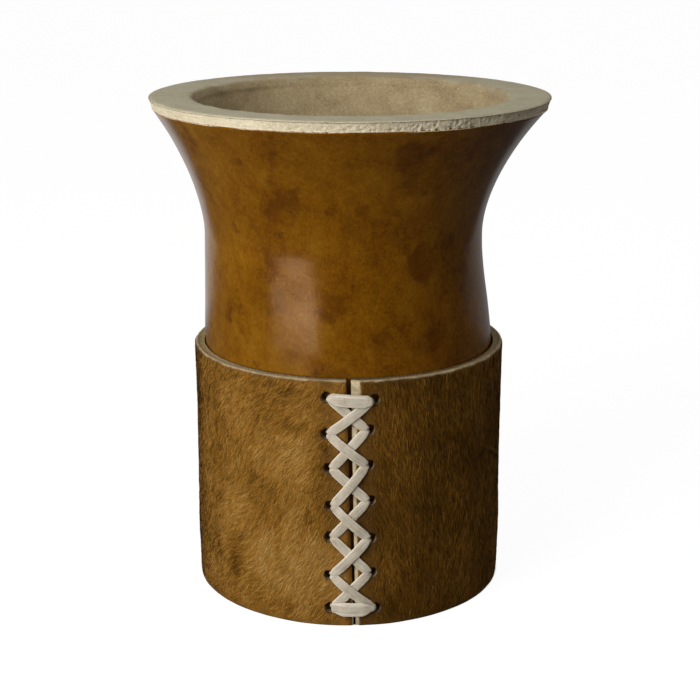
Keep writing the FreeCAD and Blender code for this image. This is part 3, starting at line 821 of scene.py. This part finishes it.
def makeLace(finish):
    s, l = sleeve, lace
    rng = np.random.default_rng(8)
    field = noiseField(41)
    left = [holePlace(-1, row) for row in range(s["rows"])]
    right = [holePlace(1, row) for row in range(s["rows"])]
    straps = [(left[0], right[0], "bar"), (left[0], right[0], "trim")]
    for row in range(s["rows"] - 1):
        over, under = (right, left) if row % 2 == 0 else (left, right)
        straps.append((over[row], under[row + 1], "over"))
        straps.append((under[row], over[row + 1], "under"))
    straps.append((left[-1], right[-1], "knot"))
    allPoints, allFaces, allCoords, used = [], [], [], 0
    for number, (start, end, kind) in enumerate(straps):
        a0, a1 = (place[0] - np.sign(place[0]) * l["pull"] / hideOuter for place in (start, end))
        share, drop = strapShares(math.hypot((a1 - a0) * hideOuter, end[1] - start[1]))
        ends = np.minimum(share, 1 - share)
        base, crown, near, far = l["rises"][kind]
        rise = l["clear"] + l["thick"] / 2 + base + crown * smooth(ends, near, far)
        waver = field(np.stack([share * 4, 0 * share + number, 0 * share], -1))
        angle = a0 + (a1 - a0) * share
        z = start[1] + (end[1] - start[1]) * share
        if kind == "bar":
            z = z - l["barDrop"]
        if kind == "trim":      # the doubled edge above the bar
            z = z + l["trimRise"] * smooth(ends, 0, 0.12)
        if kind == "knot":      # the lace's end, drawn over the last cross
            z = z + l["knotRise"] - l["knotSag"] * np.sin(np.pi * share)
            angle = angle + l["knotTurn"] * share
        radius = hideRadius(z) + rise - drop + 0.03 * waver * smooth(ends, 0.02, 0.2)
        out = outwardAt(angle)
        path = np.array([s["shift"], 0, 0]) + out * radius[:, None] + np.array([0, 0, 1]) * z[:, None]
        # in a hole the strap faces the seam
        facing = np.clip(drop / l["corner"], 0, 1)[:, None]
        ahead = (path[-3] - path[2]) / np.linalg.norm(path[-3] - path[2])
        outs = out * (1 - facing) - ahead * facing * np.where(share < 0.5, 1, -1)[:, None]
        outs /= np.linalg.norm(outs, axis=1)[:, None]
        tilt = rng.normal(0, 0.04) + 0.08 * (share - 0.5) * rng.choice([-1, 1])
        sag = 0.05 + 0.10 * (1 - smooth(ends, 0, 0.2))
        points, coords = strap(path, outs, strapWidths(kind, share, ends, waver), tilt, sag)
        n = l["around"]
        cap = np.arange(n)
        allFaces += [face + used for face in gridFaces(len(share), n)[:, ::-1]]
        allFaces += [cap + used, cap[::-1] + used + (len(share) - 1) * n]
        allPoints.append(points.reshape(-1, 3))
        used += len(share) * n
        coords[:, 1] += number * 10     # tells the straps apart in the finish
        allCoords.append(coords)
    piece = meshPiece("laceStrands", np.concatenate(allPoints), allFaces, [finish], "lace")
    addValues(piece, "laceRun", np.concatenate(allCoords))
    return piece


def laceFinish():
    f = Finish("rawhideLace")
    run = f.attribute("laceRun", "Vector")
    fibres = f.node("ShaderNodeMapping", None, {"Vector": run, "Scale": (0.25, 2.6, 1)})
    fibres = f.clouds(fibres, 1.0, 5, 0.6)
    grain = f.clouds(f.place(), 2.4, 4, 0.7)
    blot = f.clouds(f.place(), 0.28, 4, 0.6)
    colour = f.ramp(0.35 * fibres + 0.4 * blot + 0.25 * grain, (0.32, (0.27, 0.215, 0.145)),
                    (0.48, (0.47, 0.405, 0.305)), (0.66, (0.64, 0.58, 0.47)))
    across = f.maths("FLOORED_MODULO", f.axis(run, "Y") + 5, 10.0) - 5     # from the strap's middle
    margin = f.step(f.maths("ABSOLUTE", across), 0.74, 0.98)
    colour = f.blend(margin * 0.6, colour, (0.72, 0.65, 0.53))
    return f.shade({"Base Color": colour, "Roughness": 0.5, "Specular IOR Level": 0.4,
                    "Normal": f.bump(0.6 * fibres + 0.4 * grain, 0.16, 0.8)})


print("lace")
makeLace(laceFinish())

# The stage.

stage = {
    "camera": (0.0, -361.22, 157.64), "pitch": 16.0746, "lens": 82.38,
    "key": {"azimuth": -40, "distance": 420, "middle": 258, "width": 262, "height": 500, "power": 2.6},
    "fill": 0.38,
    "floor": {"half": 3000, "paint": (0.12, 0.118, 0.116), "white": 0.94, "mirrorFrom": (170, 250),
              "contact": (34.9, 35.7)},     # the floor is dark under the sleeve, out to here
}


def makeCamera(scene):
    camera = bpy.data.objects.new("camera", bpy.data.cameras.new("camera"))
    camera.location = [v * mm for v in stage["camera"]]
    camera.rotation_euler = (math.radians(90 - stage["pitch"]), 0, 0)
    camera.data.lens = stage["lens"]
    camera.data.sensor_width = 36
    camera.data.clip_start = 0.01
    scene.collection.objects.link(camera)
    scene.camera = camera


def makeKey(scene):
    k = stage["key"]
    light = bpy.data.lights.new("key", "AREA")
    light.shape = "RECTANGLE"
    light.size, light.size_y, light.energy = k["width"] * mm, k["height"] * mm, k["power"]
    lamp = bpy.data.objects.new("key", light)
    a = math.radians(k["azimuth"])
    lamp.location = (math.sin(a) * k["distance"] * mm, -math.cos(a) * k["distance"] * mm, k["middle"] * mm)
    lamp.rotation_euler = (math.radians(90), 0, a)
    scene.collection.objects.link(lamp)


def makeFloor(scene):  # white to the camera, and plain and dim to everything else
    mesh = bpy.data.meshes.new("floor")
    half = stage["floor"]["half"] * mm
    corners = [(-half, -half, 0), (half, -half, 0), (half, half, 0), (-half, half, 0)]
    mesh.from_pydata(corners, [], [(0, 1, 2, 3)])
    floor = bpy.data.objects.new("floor", mesh)
    scene.collection.objects.link(floor)
    f = Finish("floorPaint")
    spot = f.place()
    away = f.node("ShaderNodeVectorMath", {"operation": "LENGTH"}, {0: spot}, output="Value")
    seen = f.node("ShaderNodeLightPath", output="Is Camera Ray") * f.step(away, *stage["floor"]["contact"])
    paint = f.node("ShaderNodeBsdfDiffuse", None, {"Color": stage["floor"]["paint"]})
    # in the varnish it shows brighter behind the cup, and more so on the left
    mirrored = f.node("ShaderNodeLightPath", output="Is Glossy Ray")
    leftwards = 0.6 - 0.4 * f.step(f.axis(spot, "X"), -100, 100)
    mirrored = mirrored * f.step(f.axis(spot, "Y"), *stage["floor"]["mirrorFrom"]) * leftwards
    glow = f.maths("MAXIMUM", seen * stage["floor"]["white"], mirrored)
    glow = f.node("ShaderNodeEmission", None, {"Color": (1, 1, 1), "Strength": glow})
    both = f.node("ShaderNodeAddShader", None, {0: paint, 1: glow})
    f.node("ShaderNodeOutputMaterial", None, {"Surface": both})
    mesh.materials.append(f.material)


def makeWorld(scene):  # white to the camera, soft fill light, brighter behind the cup in the varnish
    world = bpy.data.worlds.new("studio")
    scene.world = world
    w = Finish(world)
    behind = w.axis(w.node("ShaderNodeTexCoord", output="Generated"), "Y")
    camera = w.node("ShaderNodeLightPath", output="Is Camera Ray")
    glossy = w.node("ShaderNodeLightPath", output="Is Glossy Ray")
    clear = w.node("ShaderNodeLightPath", output="Is Transmission Ray")
    mirrored = glossy * (0.05 + 0.95 * w.step(behind, 0.2, 0.9))
    light = mirrored + (1 - glossy) * stage["fill"]
    strength = w.maths("MAXIMUM", w.maths("MAXIMUM", camera, clear), light)
    background = w.node("ShaderNodeBackground", None, {"Color": (1, 1, 1), "Strength": strength})
    w.node("ShaderNodeOutputWorld", None, {"Surface": background})


print("stage")
studio = bpy.context.scene
studio.view_settings.view_transform = "Standard"
makeCamera(studio)
makeKey(studio)
makeFloor(studio)
makeWorld(studio)
